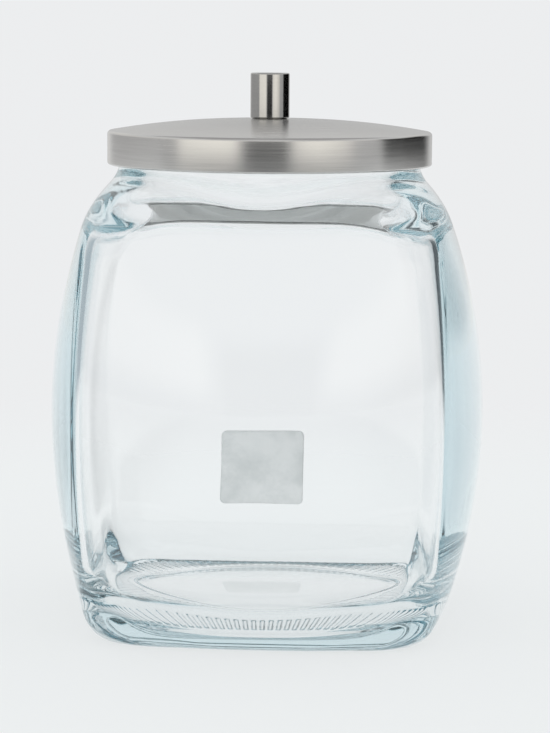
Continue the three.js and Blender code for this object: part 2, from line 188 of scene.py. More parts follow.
# Brushed steel
BRUSH_FINE = (5200, 3.0, 0.6)
BRUSH_COARSE = (1100, 2.0, 0.5)
BRUSH_FINE_SHARE = 0.65
BRUSH_DRIFT = 0.6 * MM
BRUSH_DEPTH = 0.004 * MM
BRUSH_ROUGHNESS = 0.03
STEEL_CLOUD = (45, 2.0, 0.5)
CLOUD_ROUGHNESS = 0.02
STEEL_DARK = (0.545, 0.54, 0.53)
STEEL_PALE = (0.63, 0.622, 0.608)
QUARTER_TURN = 0.25
RELIEF_STRENGTH = 0.5
LID_ROUGHNESS, LID_ANISOTROPY, LID_TONE = 0.24, 0.5, 1.0
# The knob's tone darkens the lid's steel colours as painted shade, which dims the lamps'
# reflections in it.
KNOB_ROUGHNESS, KNOB_ANISOTROPY, KNOB_PAINTED_SHADE = 0.13, 0.4, 0.75

# Moulded, soft and plated finishes: a dark and a pale tone, roughness, and grain scale
GRAIN_DETAIL, GRAIN_BREAK = 4.0, 0.6
GRAIN_DEPTH = 0.01 * MM
GRAIN_ROUGHNESS = 0.05
PLASTIC = ((0.90, 0.91, 0.90), (0.94, 0.95, 0.94), 0.42, 1500)
SILICONE = ((0.78, 0.80, 0.80), (0.84, 0.86, 0.86), 0.4, 900)
SILICONE_IOR = 1.41
SILICONE_CLARITY = 0.6
ZINC = ((0.52, 0.53, 0.55), (0.6, 0.61, 0.62), 0.32, 700)

# The label's paper
PAPER_FIBRE = (900, 5.0, 0.65)
PAPER_BLOTCH = (90, 3.0, 0.6)
FIBRE_SHARE = 0.35
FIBRE_DEPTH = 0.02 * MM
FIBRE_STRENGTH = 0.4
MOTTLE_LOW, MOTTLE_HIGH = 0.41, 0.59
PAPER_DARK, PAPER_PALE = (0.76, 0.78, 0.775), (0.97, 0.98, 0.975)
PAPER_THROUGH_DARK, PAPER_THROUGH_PALE = (0.88, 0.895, 0.89), (0.99, 0.995, 0.99)
PAPER_ROUGHNESS = 0.85
PAPER_TRANSLUCENCY = 0.92

# The camera, and the column of the jar's axis in a picture of this size
CAMERA_AZIMUTH = math.radians(3.0)
CAMERA_DISTANCE = 0.780
CAMERA_HEIGHT = 0.1968
CAMERA_PITCH = math.radians(8.22)
CAMERA_ROLL = math.radians(0.4)
CLIP_START = 10 * MM
FOCAL_PX = 2332.0
PICTURE_WIDTH, PICTURE_HEIGHT = 550, 733
AXIS_PX = 268.2
SENSOR = 36.0

toward_camera = Vector((math.sin(CAMERA_AZIMUTH), -math.cos(CAMERA_AZIMUTH), 0))
to_the_right = Vector((math.cos(CAMERA_AZIMUTH), math.sin(CAMERA_AZIMUTH), 0))

# The world. Glass shows it a little brighter, and darker from an edge outwards on each side
BACKDROP_TONE = (0.842, 0.852, 0.862)
GLASS_LIFT = 1.03
GLASS_TONE = tuple(GLASS_LIFT * part for part in BACKDROP_TONE)
LEFT_EDGE_SHARE, LEFT_FULL_SHARE = 0.3, 0.7
RIGHT_EDGE_SHARE, RIGHT_FULL_SHARE = 0.3, 0.6
LEFT_TONE = (0.36, 0.43, 0.47)
RIGHT_TONE = (0.06, 0.08, 0.09)

# The floor: a paper that takes the shadow, and a glow that keeps it pale
FLOOR_HALF = 1.8
FLOOR_HEIGHT = -0.2 * MM
FLOOR_PAPER = (0.92, 0.93, 0.93)
FLOOR_ROUGHNESS = 0.9
FLOOR_GLOW = (0.87, 0.895, 0.90)
FLOOR_GLOW_SHARE = 0.8
REAR_FADE_FROM, REAR_FADE_TO = 0.22, 0.45
EDGE_FADE_FROM, EDGE_FADE_TO = 1.0, 1.7
FLOOR_DARK = 0.25
DARK_FULL, DARK_FROM = -0.6, -0.17

# The card overhead
CEILING_HALF, CEILING_HEIGHT, CEILING_LEVEL = 1.2, 1.6, 0.5

# The wall round the jar, which shows only in reflections: degrees from the camera's
# side towards the right of the picture, brightness, and the heights between which it
# fades to the backdrop's brightness.
SURROUND = (
    (-180, 0.55, 0.55, 0.85),
    (-156, 0.80, 0.20, 0.80),
    (-140, 0.52, 0.20, 0.60),
    (-68, 0.56, 0.20, 0.60),
    (-62, 1.55, 0.30, 0.50),
    (-24, 1.65, 0.30, 0.50),
    (-15, 0.04, 0.25, 0.45),
    (11, 0.04, 0.25, 0.45),
    (18, 1.45, 0.30, 0.50),
    (34, 1.65, 0.30, 0.50),
    (44, 1.45, 0.30, 0.50),
    (55, 1.15, 0.30, 0.50),
    (62, 0.70, 0.30, 0.60),
    (81, 0.62, 0.30, 0.60),
    (87, 0.00, 0.60, 0.90),
    (138, 0.00, 0.60, 0.90),
    (154, 0.70, 0.20, 0.80),
    (180, 0.55, 0.55, 0.85),
)
SURROUND_RADIUS = 1.3
SURROUND_HEIGHT = 0.9
SURROUND_ROWS = 46
HALF_TURN = 180
FRONT_DEGREES = 80
FRONT_FOOT, FRONT_FOOT_HEIGHT = 0.35, 0.18
BACK_FOOT_HEIGHT = 0.06
BACKDROP_LEVEL = 0.85
WARM = (1.0, 0.968, 0.90)
WARM_FROM, WARM_FULL = 0.6, 1.2

# How often a ray may bounce among glass and steel, and pass what is clear
BOUNCES = 80
CLEAR_BOUNCES = 16

# The colour sockets of a Mix node
MIX_FIRST, MIX_SECOND, MIX_RESULT = 6, 7, 2


# Curves and sections


def fall(radius, distance):
    """How far an arc of this radius falls away at this distance from its crown."""
    return radius - np.sqrt(np.maximum(radius**2 - distance**2, 0))


def rounded_min(a, b, rounding):
    """The smaller of two, rounded where they come within this much of each other."""
    overlap = np.maximum(rounding - np.abs(a - b), 0) / rounding
    return np.minimum(a, b) - overlap**2 * rounding / 4


def filleted_max(a, b, fillet):
    """The larger of two, rounded in the same way."""
    return -rounded_min(-a, -b, fillet)


def smooth_step(low, high, value):
    """0 up to low, 1 from high, and a smooth rise between them."""
    share = np.clip((value - low) / (high - low), 0, 1)
    return share * share * (3 - 2 * share)


def stretch(start, end, step):
    """Even places from start to end, at least this step apart."""
    return np.linspace(start, end, int(abs(end - start) / step) + 1)


def arc(r, z, radius, start, end, steps=ARC_STEPS):
    """Points of (distance from the axis, height) along an arc round (r, z)."""
    turns = np.linspace(start, end, steps + 1)
    return [(r + radius * math.cos(t), z + radius * math.sin(t)) for t in turns]


def section_arcs(height, inside):
    """Half width, side radius, corner radius and corner centre of the section."""
    half = BODY_HALF_WIDTH - fall(SIDE_BARREL_RADIUS, height - BODY_MID_HEIGHT)
    reach = (
        BODY_HALF_WIDTH
        - FACE_BOW
        - fall(CORNER_BARREL_RADIUS, height - BODY_MID_HEIGHT)
    )
    round_corner = CORNER_RADIUS
    if inside:
        half = half - FACE_WALL
        reach = reach - CORNER_WALL * DIAGONAL
        round_corner = INNER_CORNER_RADIUS
    bow = np.maximum(half - reach, LEAST_BOW)
    corner_radius = np.minimum(round_corner, CORNER_ROUND_SHARE * bow / (1 - DIAGONAL))
    corner_centre = half - bow - corner_radius * DIAGONAL
    depth = half - corner_centre
    face_radius = (depth**2 + corner_centre**2 - corner_radius**2) / (
        2 * (depth - corner_radius)
    )
    return half, face_radius, corner_radius, corner_centre


def body_radius(angle, height, inside=False):
    """Distance from the axis to the body's section, outside or inside."""
    half, face_radius, corner_radius, corner_centre = section_arcs(height, inside)
    quarter = np.mod(angle, HALF_PI)
    a = np.minimum(quarter, HALF_PI - quarter)
    face_centre = half - face_radius
    reach = face_radius / (face_radius - corner_radius)
    joint = np.arctan2(
        corner_centre * reach, face_centre + (corner_centre - face_centre) * reach
    )
    on_face = face_centre * np.cos(a) + np.sqrt(
        np.maximum(face_radius**2 - (face_centre * np.sin(a)) ** 2, 0)
    )
    along = corner_centre * (np.cos(a) + np.sin(a))
    on_corner = along + np.sqrt(
        np.maximum(corner_radius**2 - 2 * corner_centre**2 + along**2, 0)
    )
    return np.where(a <= joint, on_face, on_corner)


def squareness(angle, power):
    """A superellipse of this power: 1 across the faces, more across the corners."""
    across = np.abs(np.cos(angle)) ** power + np.abs(np.sin(angle)) ** power
    return across ** (-1 / power)


def shoulder_cone(angle, height, wall):
    """The shoulder, round at the neck and squarer further down."""
    drop = NECK_BASE_HEIGHT - wall / math.cos(SHOULDER_SLOPE) - height
    square = smooth_step(0, SHOULDER_TURN, drop) * (squareness(angle, SHOULDER_POWER) - 1)
    return (NECK_RADIUS + drop / math.tan(SHOULDER_SLOPE)) * (1 + square)


def outer_radius(angle, height):
    """Body, shoulder and neck together, outside."""
    shoulder = shoulder_cone(angle, height, 0)
    side = rounded_min(body_radius(angle, height), shoulder, SHOULDER_ROUNDING)
    return filleted_max(NECK_RADIUS, side, NECK_FILLET)


def inner_radius(angle, height):
    """The same inside, where the glass thickens below the neck from a level line."""
    neck = NECK_RADIUS - NECK_WALL
    edge = section_arcs(INNER_EDGE_HEIGHT, True)[0]
    roof = edge - (height - INNER_EDGE_HEIGHT) * INNER_EDGE_SLOPE
    roof = roof * squareness(angle, INNER_ROOF_POWER)
    side = rounded_min(body_radius(angle, height, True), roof, INNER_EDGE_ROUNDING)
    shoulder = shoulder_cone(angle, height, SHOULDER_WALL)
    side = rounded_min(side, shoulder, SHOULDER_ROUNDING)
    return filleted_max(neck, side, NECK_FILLET)


def waviness(angle, height):
    """A slow unevenness of the moulded inner wall, from a few crossed waves."""
    waves = sum(np.sin(times * angle + turn * height + start) for times, turn, start in WAVES)
    return waves * (WAVINESS / len(WAVES))


# Meshes


def new_object(name, vertices, faces, smooth=True):
    """A mesh object in the scene, without a body or a finish yet."""
    mesh = bpy.data.meshes.new(name)
    mesh.from_pydata(vertices, [], faces)
    mesh.validate()
    mesh.polygons.foreach_set("use_smooth", [smooth] * len(mesh.polygons))
    obj = bpy.data.objects.new(name, mesh)
    bpy.context.scene.collection.objects.link(obj)
    return obj


def ring(radius, height, angles=GLASS_ANGLES):
    """Points round the axis, at one distance and height or one for each angle."""
    radius = radius + np.zeros_like(angles)
    height = height + np.zeros_like(angles)
    return np.stack([radius * np.cos(angles), radius * np.sin(angles), height], -1)


def grid_faces(rings, turns):
    """Quads between neighbouring rings of points, each ring closed on itself."""
    row, turn = np.meshgrid(np.arange(rings - 1), np.arange(turns), indexing="ij")
    here = row * turns + turn
    there = row * turns + (turn + 1) % turns
    quads = np.stack([here, there, there + turns, here + turns], -1)
    return quads.reshape(-1, 4).tolist()


def strip_faces(low, low_turns, high, high_turns):
    """Faces between two rings, of which one may have twice the other's points."""
    faces = []
    turns = min(low_turns, high_turns)
    low_each, high_each = low_turns // turns, high_turns // turns
    for j in range(turns):
        a, b, c = (low + (low_each * j + k) % low_turns for k in range(3))
        d, e, f = (high + (high_each * j + k) % high_turns for k in range(3))
        if low_each == high_each:
            faces.append((a, b, e, d))
        elif high_each == 2:
            faces += [(a, e, d), (a, b, e), (b, f, e)]
        else:
            faces += [(a, b, d), (b, e, d), (b, c, e)]
    return faces


def loft(name, rings, first_middle, last_middle):
    """A closed surface through rings of points, with a fan at each end."""
    counts = [len(points) for points in rings]
    starts = np.concatenate([[0], np.cumsum(counts)]).tolist()
    vertices = np.concatenate([*rings, [first_middle, last_middle]])
    faces = []
    for i in range(len(rings) - 1):
        faces += strip_faces(starts[i], counts[i], starts[i + 1], counts[i + 1])
    first, last = starts[-1], starts[-1] + 1
    for j in range(counts[0]):
        faces.append((first, (j + 1) % counts[0], j))
    for j in range(counts[-1]):
        faces.append((last, starts[-2] + j, starts[-2] + (j + 1) % counts[-1]))
    return new_object(name, vertices.tolist(), faces)


def lathe(name, profile):
    """Turns a profile of (radius, height) round the axis. It closes on itself, or
    starts and ends on the axis."""
    angles = np.linspace(0, 2 * math.pi, LATHE_TURNS, endpoint=False)
    (first_radius, first_height), (last_radius, last_height) = profile[0], profile[-1]
    if first_radius == 0 and last_radius == 0:
        rings = [ring(r, z, angles) for r, z in profile[1:-1]]
        obj = loft(name, rings, (0, 0, first_height), (0, 0, last_height))
    else:
        vertices = np.concatenate([ring(r, z, angles) for r, z in profile])
        faces = grid_faces(len(profile) + 1, LATHE_TURNS)
        faces = [[corner % len(vertices) for corner in face] for face in faces]
        obj = new_object(name, vertices.tolist(), faces)
    obj.data.set_sharp_from_angle(angle=CREASE_ANGLE)
    return obj


def place(obj, body, slot, material, *nodes):
    """Puts a finished piece on its body, with its finish, in place of CAD nodes."""
    obj.data.materials.append(material)
    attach(obj, body)
    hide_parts(*nodes)


# Materials


class Shader:
    """A new material's node tree, with short calls to add and join nodes."""

    def __init__(self, name):
        self.material = bpy.data.materials.new(name)
        self.material.use_nodes = True
        self.tree = self.material.node_tree
        self.bsdf = self.tree.nodes["Principled BSDF"]
        self.output = self.tree.nodes["Material Output"]

    def node(self, kind, **settings):
        made = self.tree.nodes.new("ShaderNode" + kind)
        for key, value in settings.items():
            setattr(made, key, value)
        return made

    def join(self, source, target):
        self.tree.links.new(source, target)

    def set(self, **values):
        for name, value in values.items():
            self.bsdf.inputs[name.replace("_", " ")].default_value = value

    def math(self, operation, a, b=None):
        made = self.node("Math", operation=operation)
        for socket, value in zip(made.inputs, (a, b)):
            if value is None:
                continue
            if isinstance(value, (int, float)):
                socket.default_value = value
            else:
                self.join(value, socket)
        return made.outputs[0]

    def weigh(self, a, b, share):
        """A share of the first value and the rest of the second."""
        return self.math(
            "ADD",
            self.math("MULTIPLY", a, share),
            self.math("MULTIPLY", b, 1 - share),
        )

    def noise(self, vector, scale, detail, roughness):
        made = self.node("TexNoise")
        made.inputs["Scale"].default_value = scale
        made.inputs["Detail"].default_value = detail
        made.inputs["Roughness"].default_value = roughness
        self.join(vector, made.inputs["Vector"])
        return made.outputs["Fac"]

    def ramp(self, value, low, high, from_low=NOISE_LOW, from_high=NOISE_HIGH):
        made = self.node("MapRange")
        for name, number in (
            ("From Min", from_low),
            ("From Max", from_high),
            ("To Min", low),
            ("To Max", high),
        ):
            made.inputs[name].default_value = number
        self.join(value, made.inputs["Value"])
        return made.outputs["Result"]

    def blend(self, factor, first, second):
        made = self.node("Mix", data_type="RGBA")
        made.inputs[MIX_FIRST].default_value = (*first, 1)
        made.inputs[MIX_SECOND].default_value = (*second, 1)
        self.join(factor, made.inputs[0])
        return made.outputs[MIX_RESULT]

    def bump(self, height, distance, strength):
        made = self.node("Bump")
        made.inputs["Distance"].default_value = distance
        made.inputs["Strength"].default_value = strength
        self.join(height, made.inputs["Height"])
        self.join(made.outputs["Normal"], self.bsdf.inputs["Normal"])


def clear_glass():
    """Smooth clear glass whose blue-green tint deepens with its thickness."""
    shader = Shader("clear_glass")
    shader.set(Base_Color=(*CLEAR, 1), Roughness=0.0, IOR=GLASS_IOR, Transmission_Weight=1.0)
    volume = shader.node("VolumeAbsorption")
    volume.inputs["Color"].default_value = (*GLASS_TINT, 1)
    volume.inputs["Density"].default_value = GLASS_DENSITY
    shader.join(volume.outputs["Volume"], shader.output.inputs["Volume"])
    return shader.material


def turned_coordinates(shader):
    """Object coordinates, plain, and as (distance from the axis, height, a little of
    the angle)."""
    around = shader.node("TexCoord").outputs["Object"]
    parts = shader.node("SeparateXYZ")
    shader.join(around, parts.inputs[0])
    x, y, z = parts.outputs
    radius = shader.math(
        "SQRT",
        shader.math("ADD", shader.math("MULTIPLY", x, x), shader.math("MULTIPLY", y, y)),
    )
    angle = shader.math("ARCTAN2", y, x)
    turned = shader.node("CombineXYZ")
    shader.join(radius, turned.inputs[0])
    shader.join(z, turned.inputs[1])
    shader.join(shader.math("MULTIPLY", angle, BRUSH_DRIFT), turned.inputs[2])
    return around, turned.outputs[0]


def brushed_steel(name, roughness, anisotropy, tone):
    """Steel brushed round the axis: fine rings of scratches, and a slow unevenness."""
    shader = Shader(name)
    around, turned = turned_coordinates(shader)
    fine = shader.noise(turned, *BRUSH_FINE)
    coarse = shader.noise(turned, *BRUSH_COARSE)
    cloud = shader.noise(around, *STEEL_CLOUD)
    lines = shader.weigh(fine, coarse, BRUSH_FINE_SHARE)
    # A tone below 1 darkens both steel colours as painted shade, as on the knob.
    colour = shader.blend(
        shader.ramp(lines, 0, 1),
        tuple(tone * part for part in STEEL_DARK),
        tuple(tone * part for part in STEEL_PALE),
    )
    shader.join(colour, shader.bsdf.inputs["Base Color"])
    rough = shader.math(
        "ADD",
        shader.ramp(lines, roughness - BRUSH_ROUGHNESS, roughness + BRUSH_ROUGHNESS),
        shader.ramp(cloud, -CLOUD_ROUGHNESS, CLOUD_ROUGHNESS),
    )
    shader.join(rough, shader.bsdf.inputs["Roughness"])
    shader.set(Metallic=1.0, Anisotropic=anisotropy, Anisotropic_Rotation=QUARTER_TURN)
    tangent = shader.node("Tangent", direction_type="RADIAL", axis="Z")
    shader.join(tangent.outputs[0], shader.bsdf.inputs["Tangent"])
    shader.bump(lines, BRUSH_DEPTH, RELIEF_STRENGTH)
    return shader.material


def plain_finish(name, dark, pale, roughness, scale, metal=0.0):
    """A moulded, plated or soft finish: two near tones, a grain and its relief."""
    shader = Shader(name)
    around = shader.node("TexCoord").outputs["Object"]
    grain = shader.noise(around, scale, GRAIN_DETAIL, GRAIN_BREAK)
    colour = shader.blend(shader.ramp(grain, 0, 1), dark, pale)
    shader.join(colour, shader.bsdf.inputs["Base Color"])
    rough = shader.ramp(grain, roughness - GRAIN_ROUGHNESS, roughness + GRAIN_ROUGHNESS)
    shader.join(rough, shader.bsdf.inputs["Roughness"])
    shader.set(Metallic=metal)
    shader.bump(grain, GRAIN_DEPTH, RELIEF_STRENGTH)
    return shader


def label_paper():
    """Mottled paper that lets most of the light from behind through."""
    shader = Shader("label_paper")
    around = shader.node("TexCoord").outputs["Object"]
    fibre = shader.noise(around, *PAPER_FIBRE)
    blotch = shader.noise(around, *PAPER_BLOTCH)
    tone = shader.weigh(fibre, blotch, FIBRE_SHARE)
    mottled = shader.ramp(tone, 0, 1, MOTTLE_LOW, MOTTLE_HIGH)
    colour = shader.blend(mottled, PAPER_DARK, PAPER_PALE)
    shader.join(colour, shader.bsdf.inputs["Base Color"])
    shader.set(Roughness=PAPER_ROUGHNESS)
    shader.bump(fibre, FIBRE_DEPTH, FIBRE_STRENGTH)
    through = shader.node("BsdfTranslucent")
    colour_through = shader.blend(mottled, PAPER_THROUGH_DARK, PAPER_THROUGH_PALE)
    shader.join(colour_through, through.inputs["Color"])
    mix = shader.node("MixShader")
    mix.inputs[0].default_value = PAPER_TRANSLUCENCY
    shader.join(shader.bsdf.outputs[0], mix.inputs[1])
    shader.join(through.outputs[0], mix.inputs[2])
    shader.join(mix.outputs[0], shader.output.inputs["Surface"])
    return shader.material


# Glass


def stipple(angle, radius, stand):
    """Depth of the small radial bars cut into the underside, from 0 to 1."""
    turn = np.mod(angle / (2 * math.pi) * STIPPLE_COUNT, 1) - 0.5
    across = 1 - smooth_step(BAR_CORE_SHARE, BAR_EDGE_SHARE, np.abs(turn))
    middle = (RECESS_RADIUS + HEEL_REACH / 2 + stand) / 2
    reach = np.minimum(STIPPLE_LENGTH, stand - RECESS_RADIUS - 2 * STIPPLE_DEPTH) / 2
    along = 1 - smooth_step(BAR_END_SHARE, 1.0, np.abs(radius - middle) / reach)
    return across * along


def underside_rings():
    """A round recess with a shallow dome, then the flat round it with its small bars."""
    stand_half = section_arcs(0.0, False)[0]
    stand = body_radius(BARS_ANGLES, 0.0) * (1 - HEEL_REACH / stand_half)
    inner_recess = RECESS_RADIUS - RECESS_SLOPE_WIDTH
    rings = []
    for radius in stretch(0, inner_recess, FLAT_STEP)[1:-1]:
        drop = (PUSH_UP - RECESS_STEP) * (radius / inner_recess) ** 2
        rings.append(ring(radius, PUSH_UP - drop))
    for share in np.linspace(0, 1, RECESS_STEPS + 1):
        height = RECESS_STEP * (1 - smooth_step(0, 1, share))
        rings.append(ring(inner_recess + RECESS_SLOPE_WIDTH * share, height))
    for half in stretch(RECESS_RADIUS, stand_half, BARS_STEP)[1:]:
        share = (half - RECESS_RADIUS) / (stand_half - RECESS_RADIUS)
        radius = RECESS_RADIUS + (stand - RECESS_RADIUS) * share
        height = STIPPLE_DEPTH * stipple(BARS_ANGLES, radius, stand)
        rings.append(ring(radius, height, BARS_ANGLES))
    return rings


def heel_rings():
    """A quarter of an ellipse from the flat to the side."""
    rings = []
    for turn in np.linspace(0, HALF_PI, HEEL_STEPS + 1)[1:]:
        height = HEEL_HEIGHT * (1 - math.cos(turn))
        inset = HEEL_REACH * (1 - math.sin(turn))
        share = 1 - inset / section_arcs(height, False)[0]
        rings.append(ring(body_radius(GLASS_ANGLES, height) * share, height))
    return rings


def outside_rings():
    """The side, the shoulder and the neck."""
    heights = (
        stretch(HEEL_HEIGHT, SHOULDER_START, SIDE_STEP)[1:],
        stretch(SHOULDER_START, NECK_START, SHOULDER_STEP)[1:],
    )
    return [ring(outer_radius(GLASS_ANGLES, z), z) for z in np.concatenate(heights)]


def rim_rings():
    """A half round from the outside of the neck to its inside."""
    radius = NECK_WALL / 2
    profile = arc(NECK_RADIUS - radius, RIM_HEIGHT - radius, radius, 0, math.pi, RIM_STEPS)
    return [ring(r, z) for r, z in profile]


def inside_rings():
    """Down the neck and the slightly wavy wall, then the inner heel, a quarter of an
    ellipse, to the round floor."""
    heights = (
        stretch(NECK_START, SHOULDER_START, SHOULDER_STEP),
        stretch(SHOULDER_START, INNER_HEEL_TOP, SIDE_STEP)[1:],
    )
    rings = []
    for height in np.concatenate(heights):
        fade = smooth_step(INNER_HEEL_TOP, 2 * INNER_HEEL_TOP, height)
        fade = fade * (1 - smooth_step(SHOULDER_START, NECK_BASE_HEIGHT, height))
        wall = inner_radius(GLASS_ANGLES, height) + fade * waviness(GLASS_ANGLES, height)
        rings.append(ring(wall, height))
    for turn in np.linspace(0, HALF_PI, INNER_HEEL_STEPS + 1)[1:]:
        height = INNER_HEEL_TOP - INNER_HEEL_HEIGHT * math.sin(turn)
        wall = body_radius(GLASS_ANGLES, height, True)
        rings.append(ring(FLOOR_RADIUS + (wall - FLOOR_RADIUS) * math.cos(turn), height))
    for radius in stretch(FLOOR_RADIUS, 0, FLAT_STEP)[1:-1]:
        height = FLOOR_THICKNESS + FLOOR_RISE * (1 - (radius / FLOOR_RADIUS) ** 2)
        rings.append(ring(radius, height))
    return rings


def glass_jar():
    """The glass in one skin: up the outside, over the rim and down the inside."""
    rings = underside_rings() + heel_rings() + outside_rings() + rim_rings() + inside_rings()
    floor_middle = (0, 0, FLOOR_THICKNESS + FLOOR_RISE)
    jar = loft("jar_glass", rings, (0, 0, PUSH_UP), floor_middle)
    place(jar, "jar", "glass", clear_glass(), "glass_jar")


# Label


def rear_label():
    """A thin sheet with round corners that follows the rear of the jar."""
    width = label_high.x - label_low.x
    height = label_high.z - label_low.z
    middle = (label_high.x + label_low.x) / 2
    rings = []
    for share in np.linspace(0, 1, LABEL_STEPS_UP + 1):
        row = 0.5 - 0.5 * math.cos(math.pi * share)
        edge = min(row, 1 - row) * height
        narrowing = fall(LABEL_CORNER, max(LABEL_CORNER - edge, 0))
        z = label_low.z + row * height
        half, face_radius = section_arcs(z, False)[:2]
        x = middle + np.linspace(-1, 1, LABEL_STEPS_ACROSS + 1) * (width / 2 - narrowing)
        near = face_radius + LABEL_GAP
        far = near + LABEL_THICKNESS
        front = np.stack([x, half - face_radius + np.sqrt(near**2 - x**2), z + 0 * x], -1)
        back = np.stack([x, half - face_radius + np.sqrt(far**2 - x**2), z + 0 * x], -1)
        rings.append(np.concatenate([front, back[::-1]]))
    label = loft("label_sheet", rings, rings[0].mean(0).tolist(), rings[-1].mean(0).tolist())
    place(label, "jar", "label_paper", label_paper(), "rear_label")


# Lid


def dome_profile(drop, edge_radius):
    """The dome from the knob's seat to the end of its rounded edge."""
    outer = LID_RADIUS - RIM_EDGE_RADIUS
    dome_radius = ((outer - KNOB_SEAT_RADIUS) ** 2 + DOME_RISE**2) / (2 * DOME_RISE)
    points = []
    for r in np.linspace(KNOB_SEAT_RADIUS, outer, DOME_POINTS)[:-1]:
        points.append((r, KNOB_SEAT - drop - float(fall(dome_radius, r - KNOB_SEAT_RADIUS))))
    edge_height = KNOB_SEAT - DOME_RISE - RIM_EDGE_RADIUS
    return points + arc(outer, edge_height, edge_radius, HALF_PI, 0)


def lid_cap(steel):
    """The dome, the skirt and its rolled hem, then back inside to the screw's hole."""
    hem_inner = LID_RADIUS - HEM_WIDTH
    hem_middle = SKIRT_BOTTOM + HEM_RADIUS
    profile = [
        (HOLE_RADIUS, KNOB_SEAT),
        *dome_profile(0, RIM_EDGE_RADIUS),
        *arc(LID_RADIUS - HEM_RADIUS, hem_middle, HEM_RADIUS, 0, -HALF_PI),
        *arc(hem_inner + HEM_RADIUS, hem_middle, HEM_RADIUS, -HALF_PI, -math.pi),
        (hem_inner, SKIRT_BOTTOM + HEM_HEIGHT),
        (LID_RADIUS - LID_SHEET, SKIRT_BOTTOM + HEM_HEIGHT),
        *dome_profile(LID_SHEET, RIM_EDGE_RADIUS - LID_SHEET)[::-1],
        (HOLE_RADIUS, KNOB_SEAT - LID_SHEET),
    ]
    place(lathe("lid_shell", profile[::-1]), "lid", "brushed_steel", steel, "lid_cap")


def lid_insert():
    """The hollow plug with its flange above and the groove for the gasket."""
    plug, edge = PLUG_RADIUS, PLUG_EDGE
    flange = insert_high.x
    bottom, top = insert_low.z, insert_high.z
    flange_bottom = top - FLANGE_THICKNESS
    groove_top = flange_bottom - GROOVE_DROP
    groove_bottom = groove_top - GROOVE_HEIGHT
    profile = [
        (0, flange_bottom),
        *arc(plug - PLUG_WALL - edge, flange_bottom - edge, edge, HALF_PI, 0, EDGE_STEPS),
        *arc(plug - PLUG_WALL + edge, bottom + edge, edge, math.pi, 3 * HALF_PI, EDGE_STEPS),
        *arc(plug - edge, bottom + edge, edge, -HALF_PI, 0, EDGE_STEPS),
        (plug, groove_bottom),
        (plug - GROOVE_DEPTH, groove_bottom),
        (plug - GROOVE_DEPTH, groove_top),
        (plug, groove_top),
        (plug, flange_bottom),
        *arc(flange - edge, flange_bottom + edge, edge, -HALF_PI, 0, EDGE_STEPS),
        *arc(flange - edge, top - edge, edge, 0, HALF_PI, EDGE_STEPS),
        (0, top),
    ]
    plastic = plain_finish("white_plastic", *PLASTIC)
    place(lathe("lid_plug", profile), "lid", "white_plastic", plastic.material, "lid_insert")


def lid_gasket():
    """A soft ring with a back in the groove and two round fins."""
    bottom, top = gasket_low.z, gasket_high.z
    inner = PLUG_RADIUS - GROOVE_DEPTH + GASKET_GAP
    base = inner + GASKET_BACK
    fin = GASKET_FIN
    fin_middle = gasket_high.x - fin / 2
    profile = [
        (inner, bottom),
        *arc(fin_middle, bottom + fin / 2, fin / 2, -HALF_PI, HALF_PI, FIN_STEPS),
        (base, bottom + fin),
        (base, top - fin),
        *arc(fin_middle, top - fin / 2, fin / 2, -HALF_PI, HALF_PI, FIN_STEPS),
        (inner, top),
    ]
    silicone = plain_finish("clear_silicone", *SILICONE)
    silicone.set(IOR=SILICONE_IOR, Transmission_Weight=SILICONE_CLARITY)
    place(lathe("seal_ring", profile), "lid", "clear_silicone", silicone.material, "lid_gasket")


def knob(steel):
    """A solid cylinder with the screw's bore in its foot."""
    radius = knob_high.x
    foot, top = knob_low.z, knob_high.z
    profile = [
        (0, foot + KNOB_BORE_DEPTH),
        (HOLE_RADIUS, foot + KNOB_BORE_DEPTH),
        (HOLE_RADIUS, foot),
        (radius - KNOB_CHAMFER, foot),
        (radius, foot + KNOB_CHAMFER),
        *arc(radius - KNOB_EDGE, top - KNOB_EDGE, KNOB_EDGE, 0, HALF_PI),
        (0, top),
    ]
    place(lathe("knob_post", profile), "lid", "brushed_steel", steel, "knob")


def knob_fixing():
    """The washer, and the zinc plate on it and on the screw with its crossed recess."""
    zinc = plain_finish("zinc_plate", *ZINC, metal=1.0)
    edge = WASHER_EDGE
    inner, outer = HOLE_RADIUS + edge, washer_high.x - edge
    low, high = washer_low.z + edge, washer_high.z - edge
    profile = [
        *arc(inner, low, edge, math.pi, 3 * HALF_PI, EDGE_STEPS),
        *arc(outer, low, edge, -HALF_PI, 0, EDGE_STEPS),
        *arc(outer, high, edge, 0, HALF_PI, EDGE_STEPS),
        *arc(inner, high, edge, HALF_PI, math.pi, EDGE_STEPS),
    ]
    place(lathe("washer_ring", profile), "lid", "zinc_steel", zinc.material, "screw_washer")
    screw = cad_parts["knob_screw"]
    screw.data.materials.clear()
    screw.data.materials.append(zinc.material)


# Studio


def camera():
    """A long lens in front of the jar, a little to the right and looking down."""
    data = bpy.data.cameras.new("camera")
    data.sensor_width = SENSOR
    data.lens = SENSOR * FOCAL_PX / PICTURE_HEIGHT
    data.clip_start = CLIP_START
    obj = bpy.data.objects.new("camera", data)
    bpy.context.scene.collection.objects.link(obj)
    aside = (PICTURE_WIDTH / 2 - AXIS_PX) / FOCAL_PX * CAMERA_DISTANCE
    obj.location = (
        toward_camera * CAMERA_DISTANCE
        + to_the_right * aside
        + Vector((0, 0, CAMERA_HEIGHT))
    )
    look = -toward_camera * math.cos(CAMERA_PITCH) - Vector((0, 0, math.sin(CAMERA_PITCH)))
    turned = look.to_track_quat("-Z", "Y")
    obj.rotation_mode = "QUATERNION"
    obj.rotation_quaternion = turned @ Quaternion(Vector((0, 0, 1)), CAMERA_ROLL)
    bpy.context.scene.camera = obj


